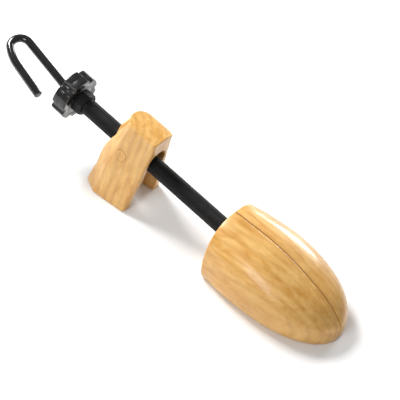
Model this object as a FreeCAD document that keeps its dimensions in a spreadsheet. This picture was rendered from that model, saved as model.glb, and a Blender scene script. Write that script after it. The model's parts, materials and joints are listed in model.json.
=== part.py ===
import FreeCAD, Part
import Sketcher
import math
import os

# Two-way shoe stretcher. Millimetres, +X towards the toe, +Y left, +Z up, standing on z = 0.
# "along" is measured down the shaft from the forefoot's rear face, negative towards the hook.

doc = FreeCAD.newDocument("shoe_tree")
sheet = doc.addObject("Spreadsheet::Sheet", "Dim")

driving = [
    ("shaftSlope", 10, "fall of the shaft towards the toe, degrees"),
    ("axisHeight", 33, "shaft axis above the floor at the forefoot's rear face"),
    ("runGap", 0.05, "radial clearance of a running fit"),
    ("overshoot", 1, "length by which a cutting tool passes its surface"),
    ("looseGap", 0.3, "clearance between pieces that pass each other"),
    # hook rod
    ("rodRadius", 4, "hook rod"),
    ("rodTip", 61, "front end of the rod along the shaft"),
    ("hookRoll", 190, "turn of the hook's plane about the shaft, degrees"),
    ("bendStart", 4, "straight rod behind the knob"),
    ("bendRadius", 20, "easy bend behind the knob"),
    ("bendAngle", 9.7, "angle of that bend, degrees"),
    ("shankLength", 55.4, "straight shank of the hook"),
    ("crookRadius", 9.8, "centre line radius of the crook"),
    ("crookSweep", 152, "angle of the crook, degrees"),
    ("easeRadius", 51, "centre line radius where the crook eases into the leg"),
    ("easeSweep", 24.7, "angle of that easing, degrees"),
    ("legLength", 37.5, "straight leg of the hook"),
    ("rodEndRound", 1.6, "rounding of the hook's end"),
    # knob and lock nut
    ("knobBack", 204.8, "knob's rear face to the forefoot's rear face"),
    ("knobLength", 15, "knob thickness"),
    ("knobRadius", 22.8, "knob over its lobes"),
    ("knobLobes", 6, "number of lobes"),
    ("knobPhase", -21.1, "turn of the knob about the shaft, degrees"),
    ("scallopRadius", 5, "radius of a valley"),
    ("scallopDepth", 2.4, "depth of a valley"),
    ("knobRound", 1.2, "rounding of the knob's rim"),
    ("knobWall", 3, "end wall behind the tube"),
    ("nutFlats", 20.5, "lock nut across its flats"),
    ("nutLength", 10, "lock nut thickness"),
    ("nutLand", 0.2, "lock nut's front face beyond its flats"),
    ("grubRadius", 2, "grub screw"),
    ("grubLength", 8, "grub screw"),
    # tube
    ("tubeRadius", 8.2, "threaded tube"),
    ("tubeBore", 5.5, "radius of the tube's bore"),
    ("tubeBushLength", 12, "bush in each end of the tube"),
    ("flangeRadius", 11, "tube flange"),
    ("flangeLength", 4.8, "tube flange"),
    ("washerLength", 1, "thrust washer"),
    ("pinRadius", 1.25, "cross pin"),
    ("pinInset", 0.4, "depth of a cross pin's end below its surface"),
    # yoke
    ("capLength", 4, "yoke cap"),
    ("yokeLength", 74, "yoke from cap to nose"),
    ("yokeHalfWidth", 13, "half width of the yoke"),
    ("headHalfHeight", 19, "half height of the yoke's head"),
    ("headLength", 22, "yoke's head"),
    ("frameHalfHeight", 14, "half height of the yoke's frame"),
    ("windowHalfHeight", 9, "half height of the wedge's window"),
    ("windowLength", 32, "window along the shaft"),
    ("bearingWall", 2, "tube bearing and rod bush wall"),
    ("collarRadius", 7.2, "rod collar"),
    ("collarLength", 6, "rod collar"),
    ("webStart", 14.4, "start of the yoke's inner web"),
    ("capScrewRadius", 1.5, "cap screw shank"),
    ("capScrewHead", 2.8, "cap screw head"),
    ("capScrewSide", 10, "cap screws from the middle"),
    ("capScrewRise", 15.5, "cap screws above and below the axis"),
    ("capScrewLength", 10, "cap screw under its head"),
    ("capScrewHeadLength", 2, "cap screw head"),
    # guide pins
    ("guideRadius", 3.5, "guide pin"),
    ("guideReach", 24, "guide pin's end from the middle"),
    ("guideHeadAlong", 11, "upper and lower pins along the shaft"),
    ("guideHeadRise", 13, "upper and lower pins from the axis"),
    ("guideFrontAlong", 67.5, "front pin along the shaft"),
    ("guideBushLength", 8, "guide bush"),
    ("guideBushWall", 1.5, "guide bush"),
    # wedge drive
    ("wedgeStart", 35, "rear end of the wedge along the shaft"),
    ("wedgeLength", 18, "wedge"),
    ("wedgeHalfHeight", 7.6, "half height of the wedge"),
    ("wedgeRear", 6.5, "half width of the wedge's rear end"),
    ("rampSlope", 0.5, "spread of one side per travel of the wedge"),
    ("wedgeTravel", 12, "travel of the wedge towards the hook"),
    ("railStart", 32, "rear end of a ramp rail"),
    ("railLength", 20, "ramp rail along the shaft"),
    ("railHalfHeight", 8, "half height of a ramp rail"),
    ("railOuter", 25, "outer side of a ramp rail from the middle"),
    ("stemHalfHeight", 2.5, "half height of the T rib's stem"),
    ("stemDepth", 2, "T rib's stem"),
    ("headRibHalf", 4.5, "half height of the T rib's head"),
    ("headRibDepth", 2, "T rib's head"),
    ("ribGap", 0.1, "clearance under the T rib's head"),
    ("railRoom", 3, "room ahead of the rails"),
    ("railPinAlong", 47, "rail pin along the shaft"),
    ("railPinSide", 21.5, "rail pin from the middle"),
    ("railPinHalf", 13, "half length of a rail pin"),
    ("railPinRadius", 2, "rail pin"),
    # forefoot
    ("splitGap", 1, "gap between the closed halves"),
    ("footLength", 130, "forefoot"),
    ("footRearHalf", 37, "half width of the forefoot's rear face"),
    ("footHalf", 43.5, "half width at the ball"),
    ("footRearHeight", 60, "height of the forefoot's rear face"),
    ("footBallHeight", 55, "height at the ball"),
    ("footToeHeight", 26, "height close to the toe"),
    ("footBallShare", 0.42, "place of the ball along the forefoot, share of its length"),
    # heel block
    ("pivotBack", 121, "heel pivot behind the forefoot's rear face"),
    ("heelFront", 27.3, "pivot to the block's front face"),
    ("heelTop", 37, "crest of the block's top above the axis"),
    ("heelTopHalf", 13, "half width of the block's top"),
    ("heelTopRear", 11.5, "block's top behind the pivot"),
    ("heelUpper", 8, "height of the upper section above the axis"),
    ("heelUpperHalf", 16.4, "half width of the upper section"),
    ("heelUpperRear", 22, "upper section behind the pivot"),
    ("heelMid", 5, "depth of the middle section below the axis"),
    ("heelMidHalf", 18.4, "half width of the middle section"),
    ("heelMidRear", 26, "middle section behind the pivot"),
    ("heelLow", 16, "depth of the section where the sides flare"),
    ("heelLowHalf", 20.4, "half width of that section"),
    ("heelLowRear", 28, "that section behind the pivot"),
    ("heelDeep", 40, "depth of the section where the sides are full"),
    ("heelBaseHalf", 25, "half width of the block's foot"),
    ("heelBaseRear", 30, "block's foot behind the pivot"),
    ("heelRound", 3.2, "corner rounding of the block's front"),
    ("heelCrown", 48, "radius of the block's crowned top"),
    ("slotHalf", 11, "half width of the slot"),
    ("archCentre", 8, "centre of the slot's arch above the axis"),
    ("flareStart", 14, "depth where the slot starts to widen"),
    ("flareEnd", 34, "depth where the slot is at its full width"),
    ("flareHalf", 16.5, "half width of the slot at the block's foot"),
    ("heelNutRadius", 12, "cross nut"),
    ("trunnionRadius", 4, "trunnion"),
    ("trunnionReach", 13.6, "trunnion's end from the middle"),
    ("heelBushWall", 1.5, "trunnion bush"),
    ("heelBushEnd", 14, "bush's outer end from the middle"),
]

for row, (alias, value, note) in enumerate(driving, start=1):
    sheet.set("A%d" % row, note)
    sheet.set("B%d" % row, str(value))
    sheet.setAlias("B%d" % row, alias)
doc.recompute()

V = FreeCAD.Vector
alongX = V(1, 0, 0)
alongY = V(0, 1, 0)
alongZ = V(0, 0, 1)


def dim(alias):
    return float(sheet.get(alias))


def turned(axis, degrees):
    return FreeCAD.Rotation(axis, degrees)


def bind(piece, sizes):
    for prop, expression in sizes.items():
        piece.setExpression(prop, expression)
    return piece


def stand(piece, x="0", y="0", z="0", rotation=None):
    # puts a primitive at a place that is bound to the sheet
    piece.Placement = FreeCAD.Placement(V(0, 0, 0), rotation or FreeCAD.Rotation())
    return bind(piece, {
        "Placement.Base.x": x,
        "Placement.Base.y": y,
        "Placement.Base.z": z,
    })


def cylinder(name, radius, length, axis=alongX, x="0", y="0", z="0"):
    # a cylinder that starts at (x, y, z) and runs along the axis
    piece = doc.addObject("Part::Cylinder", name)
    bind(piece, {"Radius": radius, "Height": length})
    return stand(piece, x, y, z, FreeCAD.Rotation(alongZ, axis))


def box(name, low, high):
    # a box between two corners, each given as three expressions
    piece = doc.addObject("Part::Box", name)
    spans = ["(%s) - (%s)" % (top, bottom) for bottom, top in zip(low, high)]
    bind(piece, {"Length": spans[0], "Width": spans[1], "Height": spans[2]})
    return stand(piece, *low)


def cut(name, base, tools):
    tool = tools[0] if len(tools) == 1 else fuse(name + "_tools", tools)
    piece = doc.addObject("Part::Cut", name)
    piece.Base = base
    piece.Tool = tool
    return piece


def fuse(name, shapes):
    piece = doc.addObject("Part::MultiFuse", name)
    piece.Shapes = shapes
    return piece


def common(name, first, second):
    piece = doc.addObject("Part::Common", name)
    piece.Base = first
    piece.Tool = second
    return piece


def group(name, shapes):
    piece = doc.addObject("Part::Compound", name)
    piece.Links = shapes
    return piece


def sleeve(name, outer, inner, length, start, axis=alongX):
    # a ring or tube from start along the shaft
    body = cylinder(name + "_outside", outer, length, axis, x=start)
    bore = cylinder(name + "_bore", inner, length, axis, x=start)
    return cut(name, body, [bore])


nodes = {}


def keep(name, piece, placement):
    # a lone primitive has a bound place of its own, so it is held in a group that can be placed
    if piece.TypeId == "Part::Cylinder":
        piece = group(name, [piece])
    piece.Label = name
    nodes[name] = (piece, placement)


# The shaft frame: X runs down the shaft, from the forefoot's rear face.
shaft = FreeCAD.Placement(V(0, 0, dim("axisHeight")), turned(alongY, dim("shaftSlope")))
floor = FreeCAD.Placement()


def bodyWith(name):
    return doc.addObject("PartDesign::Body", name)


def originPlane(body, role):
    for feature in body.Origin.OriginFeatures:
        if feature.Role == role:
            return feature
    raise ValueError("no origin plane " + role)


def sketchOn(body, name, role, offset=0.0):
    sketch = body.newObject("Sketcher::SketchObject", name)
    sketch.AttachmentSupport = [(originPlane(body, role), "")]
    sketch.MapMode = "FlatFace"
    sketch.AttachmentOffset = FreeCAD.Placement(V(0, 0, offset), FreeCAD.Rotation())
    return sketch


def addCircle(sketch, centre, radius, expression):
    index = sketch.addGeometry(Part.Circle(V(centre[0], centre[1], 0), V(0, 0, 1), radius))
    sketch.addConstraint(Sketcher.Constraint("Radius", index, radius))
    sketch.setExpression("Constraints[%d]" % (sketch.ConstraintCount - 1), expression)
    return index


def bound(sketch, constraint, expression):
    number = sketch.addConstraint(constraint)
    sketch.setExpression("Constraints[%d]" % number, expression)


# ---- hook rod: straight through the tube, bent into a hook behind the knob
def hookPath(body):
    sketch = sketchOn(body, "hook_path", "XY_Plane")
    tilt = math.radians(dim("bendAngle"))
    sweep = math.radians(dim("crookSweep"))
    start = V(dim("rodTip"), 0, 0)
    bendAt = V(-dim("knobBack") - dim("bendStart"), 0, 0)
    bendCentre = bendAt - V(0, dim("bendRadius"), 0)
    bendEnd = bendCentre + V(-math.sin(tilt), math.cos(tilt), 0) * dim("bendRadius")
    shankEnd = bendEnd + V(-math.cos(tilt), -math.sin(tilt), 0) * dim("shankLength")
    crookCentre = shankEnd + V(-math.sin(tilt), math.cos(tilt), 0) * dim("crookRadius")
    first = tilt - math.pi / 2
    middle = first - sweep
    last = middle - math.radians(dim("easeSweep"))
    inward = V(math.cos(middle), math.sin(middle), 0)
    easeCentre = crookCentre - inward * (dim("easeRadius") - dim("crookRadius"))
    legStart = easeCentre + V(math.cos(last), math.sin(last), 0) * dim("easeRadius")
    legEnd = legStart + V(math.sin(last), -math.cos(last), 0) * dim("legLength")
    bend = Part.Circle(bendCentre, V(0, 0, 1), dim("bendRadius"))
    crook = Part.Circle(crookCentre, V(0, 0, 1), dim("crookRadius"))
    sketch.addGeometry(Part.LineSegment(start, bendAt))
    sketch.addGeometry(Part.ArcOfCircle(bend, math.pi / 2, math.pi / 2 + tilt))
    sketch.addGeometry(Part.LineSegment(bendEnd, shankEnd))
    sketch.addGeometry(Part.ArcOfCircle(crook, middle, first))
    ease = Part.Circle(easeCentre, V(0, 0, 1), dim("easeRadius"))
    sketch.addGeometry(Part.ArcOfCircle(ease, last, middle))
    sketch.addGeometry(Part.LineSegment(legStart, legEnd))
    sketch.addConstraint(Sketcher.Constraint("PointOnObject", 0, 1, -1))
    sketch.addConstraint(Sketcher.Constraint("PointOnObject", 0, 2, -1))
    sketch.addConstraint(Sketcher.Constraint("Tangent", 0, 2, 1, 1))
    sketch.addConstraint(Sketcher.Constraint("Tangent", 1, 2, 2, 1))
    sketch.addConstraint(Sketcher.Constraint("Tangent", 2, 2, 3, 2))
    sketch.addConstraint(Sketcher.Constraint("Tangent", 3, 1, 4, 2))
    sketch.addConstraint(Sketcher.Constraint("Tangent", 4, 1, 5, 1))
    lengths = [
        (Sketcher.Constraint("DistanceX", -1, 1, 0, 1, start.x), "Dim.rodTip"),
        (Sketcher.Constraint("DistanceX", 0, 2, -1, 1, -bendAt.x), "Dim.knobBack + Dim.bendStart"),
        (Sketcher.Constraint("Radius", 1, dim("bendRadius")), "Dim.bendRadius"),
        (Sketcher.Constraint("Radius", 3, dim("crookRadius")), "Dim.crookRadius"),
        (Sketcher.Constraint("Distance", 2, dim("shankLength")), "Dim.shankLength"),
        (Sketcher.Constraint("Radius", 4, dim("easeRadius")), "Dim.easeRadius"),
        (Sketcher.Constraint("Distance", 5, dim("legLength")), "Dim.legLength"),
        (Sketcher.Constraint("Angle", 1, tilt), "Dim.bendAngle * 1deg"),
        (Sketcher.Constraint("Angle", 3, sweep), "Dim.crookSweep * 1deg"),
        (Sketcher.Constraint("Angle", 4, middle - last), "Dim.easeSweep * 1deg"),
    ]
    for constraint, expression in lengths:
        bound(sketch, constraint, expression)
    return sketch


def buildHookRod():
    body = bodyWith("hook_rod")
    path = hookPath(body)
    profile = sketchOn(body, "rod_section", "YZ_Plane", dim("rodTip"))
    circle = addCircle(profile, (0, 0), dim("rodRadius"), "Dim.rodRadius")
    profile.addConstraint(Sketcher.Constraint("Coincident", circle, 3, -1, 1))
    profile.setExpression("AttachmentOffset.Base.z", "Dim.rodTip")
    doc.recompute()
    rod = body.newObject("PartDesign::AdditivePipe", "rod_pipe")
    rod.Profile = profile
    rod.Spine = (path, ["Edge%d" % (number + 1) for number in range(path.GeometryCount)])
    doc.recompute()
    before = rod.Shape.Volume
    pinSketch = sketchOn(body, "collar_pin_hole", "XY_Plane")
    hole = addCircle(pinSketch, (collarMiddle(), 0), dim("pinRadius"), "Dim.pinRadius")
    pinSketch.addConstraint(Sketcher.Constraint("PointOnObject", hole, 3, -1))
    bound(pinSketch, Sketcher.Constraint("DistanceX", -1, 1, hole, 3, collarMiddle()), collarMiddleText)
    pocket = body.newObject("PartDesign::Pocket", "collar_pin_pocket")
    pocket.Profile = pinSketch
    pocket.Type = "ThroughAll"
    pocket.Midplane = True
    doc.recompute()
    if pocket.Shape.Volume >= before:
        raise ValueError("the rod's pin hole cut nothing")
    rounding = body.newObject("PartDesign::Fillet", "hook_end_rounding")
    edge = farthestCircle(pocket.Shape)
    rounding.Base = (pocket, [edge])
    rounding.setExpression("Radius", "Dim.rodEndRound")
    body.Tip = rounding
    doc.recompute()
    return body


def farthestCircle(shape):
    # the round edge at the end of the hook's leg
    best = None
    for number, edge in enumerate(shape.Edges, start=1):
        if not isinstance(edge.Curve, Part.Circle) or not edge.isClosed():
            continue
        if abs(edge.Curve.Radius - dim("rodRadius")) > 1e-3:
            continue
        if edge.CenterOfMass.x < 0 and abs(edge.CenterOfMass.y) > dim("crookRadius"):
            best = "Edge%d" % number
    return best


washerFront = "(Dim.washerLength * 2 + Dim.flangeLength + 2 * Dim.runGap)"
collarStart = "(%s + Dim.looseGap)" % washerFront
collarMiddleText = "%s + Dim.collarLength / 2" % collarStart


def collarMiddle():
    seat = 2 * dim("washerLength") + dim("flangeLength") + 2 * dim("runGap")
    return seat + dim("looseGap") + dim("collarLength") / 2


hook = buildHookRod()
rolled = shaft.multiply(FreeCAD.Placement(V(0, 0, 0), turned(alongX, dim("hookRoll"))))
keep("hook_rod", hook, rolled)


def crossHole(name, length):
    # a hole across the rod's collar, in line with the hook's own pin hole
    return cylinder(name, "Dim.pinRadius", length, alongZ, x=collarMiddleText, z="-(%s) / 2" % length)


collarRing = sleeve("collar_ring", "Dim.collarRadius", "Dim.rodRadius", "Dim.collarLength", collarStart)
keep("rod_collar", cut("rod_collar", collarRing, [crossHole("collar_hole", "3 * Dim.collarRadius")]), rolled)
keep("rod_collar_pin", crossHole("collar_pin_rod", "2 * (Dim.collarRadius - Dim.pinInset)"), rolled)


# ---- knob, lock nut and tube turn together
def buildKnob():
    body = bodyWith("knob")
    base = sketchOn(body, "knob_disc", "YZ_Plane", -dim("knobBack"))
    base.setExpression("AttachmentOffset.Base.z", "-Dim.knobBack")
    disc = addCircle(base, (0, 0), dim("knobRadius"), "Dim.knobRadius")
    base.addConstraint(Sketcher.Constraint("Coincident", disc, 3, -1, 1))
    pad = body.newObject("PartDesign::Pad", "knob_pad")
    pad.Profile = base
    pad.setExpression("Length", "Dim.knobLength")
    doc.recompute()
    valley = sketchOn(body, "knob_valley", "YZ_Plane", -dim("knobBack"))
    valley.setExpression("AttachmentOffset.Base.z", "-Dim.knobBack")
    reach = dim("knobRadius") + dim("scallopRadius") - dim("scallopDepth")
    ring = addCircle(valley, (0, reach), dim("scallopRadius"), "Dim.scallopRadius")
    valley.addConstraint(Sketcher.Constraint("PointOnObject", ring, 3, -2))
    bound(
        valley,
        Sketcher.Constraint("DistanceY", -1, 1, ring, 3, reach),
        "Dim.knobRadius + Dim.scallopRadius - Dim.scallopDepth",
    )
    pocket = body.newObject("PartDesign::Pocket", "knob_scallop")
    pocket.Profile = valley
    pocket.Type = "ThroughAll"
    pocket.Midplane = True
    doc.recompute()
    pattern = body.newObject("PartDesign::PolarPattern", "knob_scallops")
    pattern.Originals = [pocket]
    pattern.Axis = (valley, ["N_Axis"])
    pattern.Angle = 360
    pattern.setExpression("Occurrences", "Dim.knobLobes")
    body.Tip = pattern
    doc.recompute()
    if pattern.Shape.Volume >= pad.Shape.Volume:
        raise ValueError("the scallops cut nothing")
    rim = []
    for number, edge in enumerate(pattern.Shape.Edges, start=1):
        ends = [vertex.X for vertex in edge.Vertexes]
        if max(ends) - min(ends) < 1e-6:
            rim.append("Edge%d" % number)
    rounding = body.newObject("PartDesign::Fillet", "knob_rounding")
    rounding.Base = (pattern, rim)
    rounding.setExpression("Radius", "Dim.knobRound")
    body.Tip = rounding
    doc.recompute()
    return body


knobBack = "-Dim.knobBack"
tubeStart = "-Dim.knobBack + Dim.knobWall"
nutStart = "-Dim.knobBack + Dim.knobLength"
flangeStart = "Dim.washerLength + Dim.runGap"
tubeEnd = "Dim.washerLength + Dim.runGap + Dim.flangeLength"
grubAlong = "-Dim.knobBack + Dim.knobLength / 2"
knobBlank = buildKnob()
knobCuts = [
    cylinder("knob_tube_bore", "Dim.tubeRadius", "Dim.knobLength", alongX, x=tubeStart),
    cylinder("knob_rod_hole", "Dim.rodRadius + Dim.looseGap", "Dim.knobLength", alongX, x=knobBack),
    cylinder("knob_grub_hole", "Dim.grubRadius", "Dim.knobRadius", V(0, 0, -1), x=grubAlong),
]
knobTurn = shaft.multiply(FreeCAD.Placement(V(0, 0, 0), turned(alongX, dim("knobPhase"))))
keep("knob", cut("knob_bored", knobBlank, knobCuts), knobTurn)
grub = cylinder("grub_rod", "Dim.grubRadius", "Dim.grubLength", V(0, 0, -1), x=grubAlong, z="-Dim.tubeRadius")
keep("knob_grub_screw", grub, knobTurn)


def buildLockNut():
    prism = doc.addObject("Part::Prism", "nut_prism")
    prism.Polygon = 6
    bind(prism, {"Circumradius": "Dim.nutFlats / sqrt(3)", "Height": "Dim.nutLength"})
    stand(prism, x=nutStart, rotation=FreeCAD.Rotation(alongZ, alongX))
    cone = doc.addObject("Part::Cone", "nut_chamfer")
    bind(cone, {
        "Radius1": "Dim.nutFlats / 2 + Dim.nutLength",
        "Radius2": "Dim.nutFlats / 2 + Dim.nutLand",
        "Height": "Dim.nutLength",
    })
    stand(cone, x=nutStart, rotation=FreeCAD.Rotation(alongZ, alongX))
    blank = common("nut_blank", prism, cone)
    bore = cylinder("nut_bore", "Dim.tubeRadius", "Dim.nutLength", alongX, x=nutStart)
    return cut("knob_lock_nut", blank, [bore])


keep("knob_lock_nut", buildLockNut(), shaft)

tubeLength = "Dim.knobBack - Dim.knobWall + %s" % tubeEnd
tubePinAlong = "Dim.washerLength + Dim.runGap + Dim.flangeLength / 2"
tubeBlank = sleeve("tube_blank", "Dim.tubeRadius", "Dim.tubeBore", tubeLength, tubeStart)
flangeBlank = sleeve("flange_blank", "Dim.flangeRadius", "Dim.tubeRadius", "Dim.flangeLength", flangeStart)


def flangePin(name):
    # a short radial pin that locks the flange to the tube
    length = "Dim.flangeRadius - Dim.tubeBore - 2 * Dim.pinInset"
    return cylinder(name, "Dim.pinRadius", length, alongZ, x=tubePinAlong, z="Dim.tubeBore + Dim.pinInset")


keep("threaded_tube", cut("threaded_tube", tubeBlank, [flangePin("tube_pin_hole")]), shaft)
keep("tube_flange", cut("tube_flange", flangeBlank, [flangePin("flange_pin_hole")]), shaft)
keep("tube_flange_pin", flangePin("flange_pin_rod"), shaft)
bushEnds = {"tube_bush_rear": tubeStart, "tube_bush_front": "%s - Dim.tubeBushLength" % tubeEnd}
for bushName, bushStart in bushEnds.items():
    bush = sleeve(bushName, "Dim.tubeBore", "Dim.rodRadius + Dim.runGap", "Dim.tubeBushLength", bushStart)
    keep(bushName, bush, shaft)

# ---- yoke: holds the tube's flange, the rod's collar, the guide pins and the wedge's window
windowStart = "Dim.headLength"
windowEnd = "(Dim.headLength + Dim.windowLength)"
headPocket = "Dim.flangeRadius + Dim.looseGap"
frontBushLength = "(Dim.rodTip - %s)" % windowEnd


def buildYoke():
    width = ["-Dim.yokeHalfWidth", "Dim.yokeHalfWidth"]
    head = box(
        "yoke_head",
        ["0", width[0], "-Dim.headHalfHeight"],
        ["Dim.headLength", width[1], "Dim.headHalfHeight"],
    )
    frame = box(
        "yoke_frame",
        ["0", width[0], "-Dim.frameHalfHeight"],
        ["Dim.yokeLength", width[1], "Dim.frameHalfHeight"],
    )
    window = box(
        "yoke_window",
        [windowStart, "-2 * Dim.yokeHalfWidth", "-Dim.windowHalfHeight"],
        [windowEnd, "2 * Dim.yokeHalfWidth", "Dim.windowHalfHeight"],
    )
    bores = [
        window,
        cylinder("yoke_flange_pocket", headPocket, washerFront),
        cylinder("yoke_collar_pocket", "Dim.collarRadius + Dim.looseGap", "Dim.webStart"),
        cylinder("yoke_rod_bore", "Dim.rodRadius + Dim.bearingWall", "Dim.rodTip + Dim.overshoot"),
    ]
    for label, along, rise in guidePlaces:
        bores.append(cylinder(
            "yoke_%s_bore" % label, "Dim.guideRadius", "4 * Dim.yokeHalfWidth", alongY,
            x=along, y="-2 * Dim.yokeHalfWidth", z=rise,
        ))
    bores += capScrewHoles("yoke", "Dim.capScrewRadius")
    return cut("yoke", fuse("yoke_blank", [head, frame]), bores)


guidePlaces = [
    ("guide_pin_upper", "Dim.guideHeadAlong", "Dim.guideHeadRise"),
    ("guide_pin_lower", "Dim.guideHeadAlong", "-Dim.guideHeadRise"),
    ("guide_pin_front", "Dim.guideFrontAlong", "0"),
]
screwCorners = [(1, 1), (1, -1), (-1, 1), (-1, -1)]


def capScrewHoles(name, radius):
    # four shanks through the cap into the yoke's head
    holes = []
    for side, rise in screwCorners:
        holes.append(cylinder(
            "%s_screw_%d" % (name, len(holes) + 1), radius, "Dim.capScrewLength", alongX,
            x="-Dim.capLength", y="%d * Dim.capScrewSide" % side, z="%d * Dim.capScrewRise" % rise,
        ))
    return holes


def capScrewHeads(name):
    heads = []
    for side, rise in screwCorners:
        heads.append(cylinder(
            "%s_head_%d" % (name, len(heads) + 1), "Dim.capScrewHead", "Dim.capScrewHeadLength",
            V(-1, 0, 0), x="-Dim.capLength",
            y="%d * Dim.capScrewSide" % side, z="%d * Dim.capScrewRise" % rise,
        ))
    return heads


keep("yoke", buildYoke(), shaft)
capPlate = box(
    "cap_plate",
    ["-Dim.capLength", "-Dim.yokeHalfWidth", "-Dim.headHalfHeight"],
    ["0", "Dim.yokeHalfWidth", "Dim.headHalfHeight"],
)
bearingRadius = "Dim.tubeRadius + Dim.runGap + Dim.bearingWall"
capBore = cylinder("cap_bore", bearingRadius, "Dim.capLength", alongX, x="-Dim.capLength")
keep("yoke_cap", cut("yoke_cap", capPlate, [capBore] + capScrewHoles("cap", "Dim.capScrewRadius")), shaft)
screws = []
for shank, head in zip(capScrewHoles("screw", "Dim.capScrewRadius"), capScrewHeads("screw")):
    screws.append(fuse(shank.Name + "_whole", [shank, head]))
keep("yoke_cap_screws", group("yoke_cap_screws", screws), shaft)
rings = [
    ("tube_bearing", bearingRadius, "Dim.tubeRadius + Dim.runGap", "Dim.capLength", "-Dim.capLength"),
    ("thrust_washer_rear", "Dim.flangeRadius", "Dim.tubeRadius + Dim.looseGap", "Dim.washerLength", "0"),
    ("thrust_washer_front", "Dim.flangeRadius", "Dim.rodRadius + Dim.looseGap", "Dim.washerLength",
     "%s - Dim.washerLength" % washerFront),
    ("rod_bush_rear", "Dim.rodRadius + Dim.bearingWall", "Dim.rodRadius + Dim.runGap",
     "Dim.headLength - Dim.webStart", "Dim.webStart"),
    ("rod_bush_front", "Dim.rodRadius + Dim.bearingWall", "Dim.rodRadius + Dim.runGap",
     frontBushLength, windowEnd),
]
for ringName, outer, inner, length, start in rings:
    keep(ringName, sleeve(ringName, outer, inner, length, start), shaft)
for pinName, along, rise in guidePlaces:
    pin = cylinder(
        pinName + "_rod", "Dim.guideRadius", "2 * Dim.guideReach", alongY,
        x=along, y="-Dim.guideReach", z=rise,
    )
    keep(pinName, pin, shaft)


# ---- wedge with T ribs, and the rails that it drives; side is +1 for left and -1 for right
def rampBar(name, side, halfHeight, inner, outer, start, length):
    # a bar along one ramp, between two depths measured square to the ramp
    bar = doc.addObject("Part::Box", name)
    slope = math.degrees(math.atan(dim("rampSlope")))
    bind(bar, {
        "Length": "(%s) * sqrt(1 + Dim.rampSlope ^ 2)" % length,
        "Width": "(%s) - (%s)" % (outer, inner),
        "Height": "2 * (%s)" % halfHeight,
    })
    # the ramp's own frame starts where the wedge's rear corner is at rest
    lean = "sqrt(1 + Dim.rampSlope ^ 2)"
    depth = inner if side > 0 else outer
    across = "(Dim.wedgeRear + (%s - Dim.wedgeStart) * Dim.rampSlope + (%s) / %s)" % (start, depth, lean)
    back = "(%s) - (%s) * Dim.rampSlope / %s" % (start, depth, lean)
    return stand(
        bar, x=back, y="%d * %s" % (side, across), z="-(%s)" % halfHeight,
        rotation=turned(alongZ, side * slope),
    )


def wedgeProfile(name, body, points, halfHeight):
    # a pad of a four-cornered outline, the same above and below the axis
    sketch = sketchOn(body, name, "XY_Plane")
    corners = [V(dimOf(x), dimOf(y), 0) for x, y in points]
    for number, corner in enumerate(corners):
        sketch.addGeometry(Part.LineSegment(corner, corners[(number + 1) % len(corners)]))
    for number in range(len(corners)):
        sketch.addConstraint(Sketcher.Constraint("Coincident", number, 2, (number + 1) % len(corners), 1))
    for number, (x, y) in enumerate(points):
        bound(sketch, Sketcher.Constraint("DistanceX", -1, 1, number, 1, dimOf(x)), x)
        bound(sketch, Sketcher.Constraint("DistanceY", -1, 1, number, 1, dimOf(y)), y)
    pad = body.newObject("PartDesign::Pad", name + "_pad")
    pad.Profile = sketch
    pad.Midplane = True
    pad.setExpression("Length", "2 * %s" % halfHeight)
    doc.recompute()
    return body


def dimOf(expression):
    # the value of an expression over the sheet's cells
    probe = sheet.evalExpression(expression.replace("Dim.", ""))
    return float(getattr(probe, "Value", probe))


# corners of the wedge and of the left rail, seen from above
wedgeFrontText = "Dim.wedgeStart + Dim.wedgeLength"
wedgeWideText = "Dim.wedgeRear + Dim.wedgeLength * Dim.rampSlope"
railEndText = "Dim.railStart + Dim.railLength"


def rampText(along):
    return "Dim.wedgeRear + (%s - Dim.wedgeStart) * Dim.rampSlope + Dim.runGap" % along


def ribBars(name, side, gap, under, start, length):
    # the T rib's stem and head, past both ends; gap and under widen them into the rail's slot
    start = "%s - Dim.railStart / 4" % start
    length = "%s + Dim.railStart / 2" % length
    stem = rampBar(
        name + "_stem", side, "Dim.stemHalfHeight + %s" % gap, "-Dim.overshoot",
        "Dim.stemDepth + Dim.headRibDepth / 2", start, length,
    )
    head = rampBar(
        name + "_head", side, "Dim.headRibHalf + %s" % gap, "Dim.stemDepth - %s" % under,
        "Dim.stemDepth + Dim.headRibDepth + %s" % gap, start, length,
    )
    return [stem, head]


def buildWedge():
    outline = [
        ("Dim.wedgeStart", "-Dim.wedgeRear"),
        (wedgeFrontText, "-(%s)" % wedgeWideText),
        (wedgeFrontText, wedgeWideText),
        ("Dim.wedgeStart", "Dim.wedgeRear"),
    ]
    blank = wedgeProfile("wedge_outline", bodyWith("wedge_blank"), outline, "Dim.wedgeHalfHeight")
    bars = []
    for side in (1, -1):
        bars += ribBars("rib_%d" % len(bars), side, "0", "0", "Dim.wedgeStart", "Dim.wedgeLength")
    limits = box(
        "wedge_limits",
        ["Dim.wedgeStart", "-Dim.railOuter", "-Dim.wedgeHalfHeight"],
        [wedgeFrontText, "Dim.railOuter", "Dim.wedgeHalfHeight"],
    )
    whole = common("wedge_whole", fuse("wedge_sum", [blank] + bars), limits)
    bore = cylinder(
        "wedge_bore", "Dim.rodRadius + Dim.runGap", "Dim.wedgeLength + 2 * Dim.overshoot", alongX,
        x="Dim.wedgeStart - Dim.overshoot",
    )
    return cut("wedge_nut", whole, [bore])


def railPin(name, side):
    return cylinder(
        name, "Dim.railPinRadius", "2 * Dim.railPinHalf", alongZ,
        x="Dim.railPinAlong", y="%d * Dim.railPinSide" % side, z="-Dim.railPinHalf",
    )


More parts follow.
